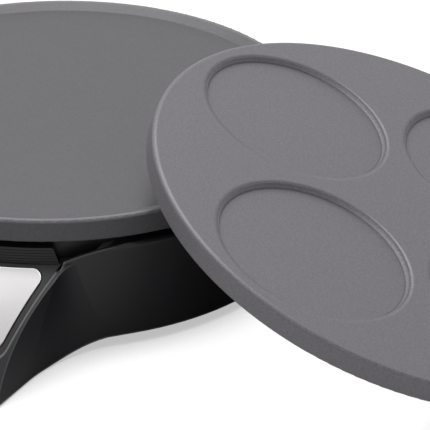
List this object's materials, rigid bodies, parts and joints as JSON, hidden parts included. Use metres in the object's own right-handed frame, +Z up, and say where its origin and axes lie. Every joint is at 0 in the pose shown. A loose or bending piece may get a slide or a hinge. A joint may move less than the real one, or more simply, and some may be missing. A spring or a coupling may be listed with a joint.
{
  "type": "electric crepe maker",
  "caption": "Round electric crepe maker with a tongue-shaped control console, a flat crepe plate lying on it and a pancake plate leaning beside it.",
  "frame": {"origin": "bottom centre of the whole set's bounding box: on the table, under the middle of the base and the leaning plate together", "axes": "+Z up, -Y towards the user's side with the console, +X towards the pancake plate that leans beside the base"},
  "size_m": [0.5166, 0.3654, 0.1202],
  "materials": {
    "housing_plastic": "satin black moulded plastic",
    "bezel_plastic": "dark grey satin moulded plastic",
    "panel_silver": "silver painted plastic, satin",
    "rail_plastic": "black plastic with fine grooves",
    "pan_steel": "pressed bright steel sheet",
    "element_steel": "sheathed steel tube, heat darkened",
    "bush_ceramic": "white ceramic",
    "clip_steel": "zinc plated sheet",
    "sensor_copper": "copper, satin",
    "base_plastic": "black moulded plastic, fine grain",
    "foot_rubber": "black rubber",
    "screw_steel": "zinc plated",
    "gland_rubber": "black soft plastic",
    "thermostat_steel": "plated steel case",
    "spindle_steel": "turned steel",
    "knob_plastic": "black moulded plastic",
    "pointer_white": "white inlay",
    "lens_red": "red translucent plastic",
    "lens_green": "green translucent plastic",
    "holder_plastic": "white plastic",
    "neon_glass": "clear glass",
    "fuse_steel": "plated case",
    "block_plastic": "ivory plastic",
    "terminal_brass": "brass",
    "lead_blue": "blue silicone sleeve",
    "lead_brown": "brown silicone sleeve",
    "lead_black": "black silicone sleeve",
    "plate_coating": "grey non-stick coat on die-cast aluminium"
  },
  "bodies": {
    "base": {"housing": "housing_plastic", "console_bezel": "bezel_plastic", "control_panel": "panel_silver", "front_rail": "rail_plastic", "reflector_pan": "pan_steel", "heating_element": "element_steel", "element_bushes": "bush_ceramic", "element_clips": "clip_steel", "sensor_bulb": "sensor_copper", "sensor_clips": "clip_steel", "capillary_tube": "sensor_copper", "base_pan": "base_plastic", "rubber_feet": "foot_rubber", "base_screws": "screw_steel", "pan_screws": "screw_steel", "bracket_screws": "screw_steel", "cord_gland": "gland_rubber", "thermostat_bracket": "clip_steel", "thermostat_body": "thermostat_steel", "power_lens": "lens_red", "ready_lens": "lens_green", "lamp_holders": "holder_plastic", "neon_lamps": "neon_glass", "thermal_fuse": "fuse_steel", "fuse_strap": "clip_steel", "terminal_block": "block_plastic", "terminal_screws": "terminal_brass", "push_on_connectors": "terminal_brass", "neutral_lead": "lead_blue", "live_lead": "lead_brown", "switched_lead": "lead_black"},
    "crepe_plate": {"crepe_plate": "plate_coating"},
    "pancake_plate": {"pancake_plate": "plate_coating"},
    "knob": {"thermostat_spindle": "spindle_steel", "thermostat_knob": "knob_plastic", "knob_pointer": "pointer_white"}
  },
  "joints": [
    {"name": "crepe_plate_lift", "type": "slide", "parent": "base", "child": "crepe_plate", "axis": [0, 0, 1], "range_m": [0, 0.06]},
    {"name": "pancake_plate_lift", "type": "slide", "parent": "crepe_plate", "child": "pancake_plate", "axis": [0.3623, 0, 0.9321], "range_m": [0, 0.12]},
    {"name": "thermostat_turn", "type": "hinge", "parent": "base", "child": "knob", "pos_m": [-0.10754, -0.14349, 0.04019], "axis": [0, -0.6039, 0.7971], "range_deg": [-270, 0]}
  ]
}
